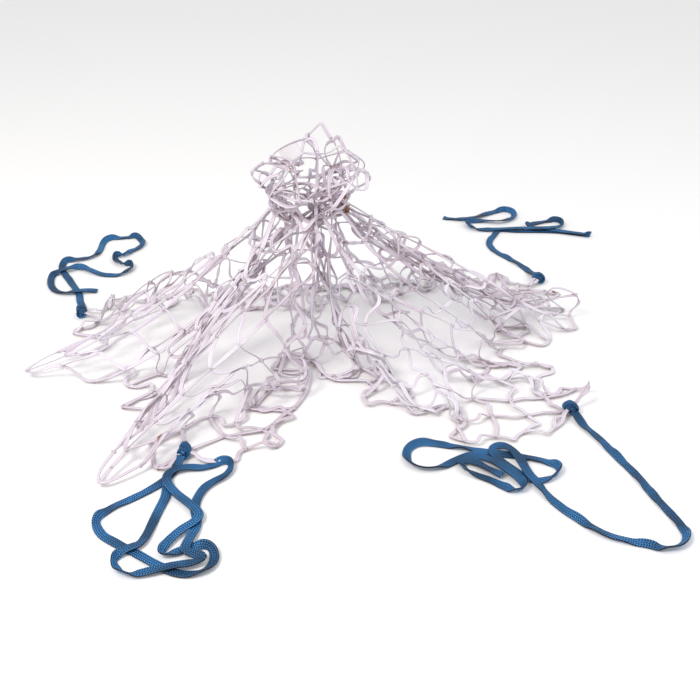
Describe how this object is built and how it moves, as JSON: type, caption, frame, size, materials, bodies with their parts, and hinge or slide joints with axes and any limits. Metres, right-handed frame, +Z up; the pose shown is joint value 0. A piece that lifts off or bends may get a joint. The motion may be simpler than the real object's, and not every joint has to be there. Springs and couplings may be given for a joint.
{
  "type": "cargo climbing net",
  "caption": "Square climbing net of knotted white cord, lifted at its middle like a tent, with a flat blue tie knotted to each corner.",
  "frame": {"origin": "on the floor, under the middle of the net's box as it lies, without its ties", "axes": "+Z up, +X to the net's right and +Y to its back, seen from the side where the two near ties lie"},
  "size_m": [1.2616, 1.3615, 0.4121],
  "materials": {
    "net_cord": "soft flat braid of white nylon, slightly stained",
    "tie_braid": "blue flat braid with light ribs",
    "label_cloth": "blank woven label"
  },
  "bodies": {
    "root": {"edge_lengthwise_00": "net_cord", "edge_crosswise_00": "net_cord", "cord_lengthwise_01": "net_cord", "cord_crosswise_01": "net_cord", "cord_lengthwise_02": "net_cord", "cord_crosswise_02": "net_cord", "cord_lengthwise_03": "net_cord", "cord_crosswise_03": "net_cord", "cord_lengthwise_04": "net_cord", "cord_crosswise_04": "net_cord", "cord_lengthwise_05": "net_cord", "cord_crosswise_05": "net_cord", "cord_lengthwise_06": "net_cord", "cord_crosswise_06": "net_cord", "cord_lengthwise_07": "net_cord", "cord_crosswise_07": "net_cord", "cord_lengthwise_08": "net_cord", "cord_crosswise_08": "net_cord", "cord_lengthwise_09": "net_cord", "cord_crosswise_09": "net_cord", "cord_lengthwise_10": "net_cord", "cord_crosswise_10": "net_cord", "cord_lengthwise_11": "net_cord", "cord_crosswise_11": "net_cord", "cord_lengthwise_12": "net_cord", "cord_crosswise_12": "net_cord", "cord_lengthwise_13": "net_cord", "cord_crosswise_13": "net_cord", "cord_lengthwise_14": "net_cord", "cord_crosswise_14": "net_cord", "cord_lengthwise_15": "net_cord", "cord_crosswise_15": "net_cord", "cord_lengthwise_16": "net_cord", "cord_crosswise_16": "net_cord", "cord_lengthwise_17": "net_cord", "cord_crosswise_17": "net_cord", "cord_lengthwise_18": "net_cord", "cord_crosswise_18": "net_cord", "cord_lengthwise_19": "net_cord", "cord_crosswise_19": "net_cord", "cord_lengthwise_20": "net_cord", "cord_crosswise_20": "net_cord", "cord_lengthwise_21": "net_cord", "cord_crosswise_21": "net_cord", "edge_lengthwise_22": "net_cord", "edge_crosswise_22": "net_cord", "net_knots": "net_cord", "tie_knot_front_left": "tie_braid", "tie_tail_front_left": "tie_braid", "tie_hank_front_left": "tie_braid", "tie_knot_front_right": "tie_braid", "tie_tail_front_right": "tie_braid", "tie_hank_front_right": "tie_braid", "tie_knot_back_left": "tie_braid", "tie_tail_back_left": "tie_braid", "tie_hank_back_left": "tie_braid", "tie_knot_back_right": "tie_braid", "tie_tail_back_right": "tie_braid", "tie_hank_back_right": "tie_braid", "blank_label": "label_cloth"}
  },
  "joints": []
}
